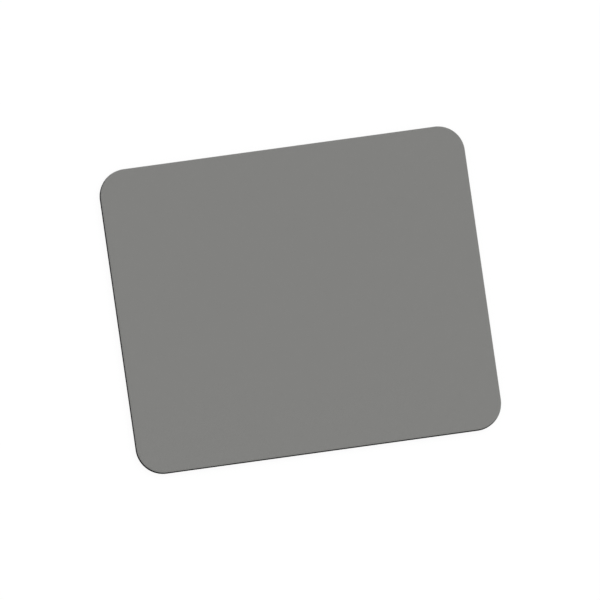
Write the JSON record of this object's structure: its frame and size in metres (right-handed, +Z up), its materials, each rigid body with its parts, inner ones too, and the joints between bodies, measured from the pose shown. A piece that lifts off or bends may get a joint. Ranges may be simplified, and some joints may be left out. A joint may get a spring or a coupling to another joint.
{
  "type": "mouse pad",
  "caption": "Flat rounded rectangular mouse pad: grey knitted cloth bonded to a black sponge rubber base, for a mouse to run on.",
  "frame": {"origin": "middle of the underside, on the desk", "axes": "+X along the long edge to the user's right, +Y away from the user, +Z up out of the cloth"},
  "size_m": [0.229, 0.191, 0.006],
  "materials": {
    "sponge_rubber": "matte",
    "hot_melt_film": "satin",
    "face_cloth": "matte"
  },
  "bodies": {
    "root": {"sponge_base": "sponge_rubber", "bond_film": "hot_melt_film", "cloth_top": "face_cloth"}
  },
  "joints": []
}
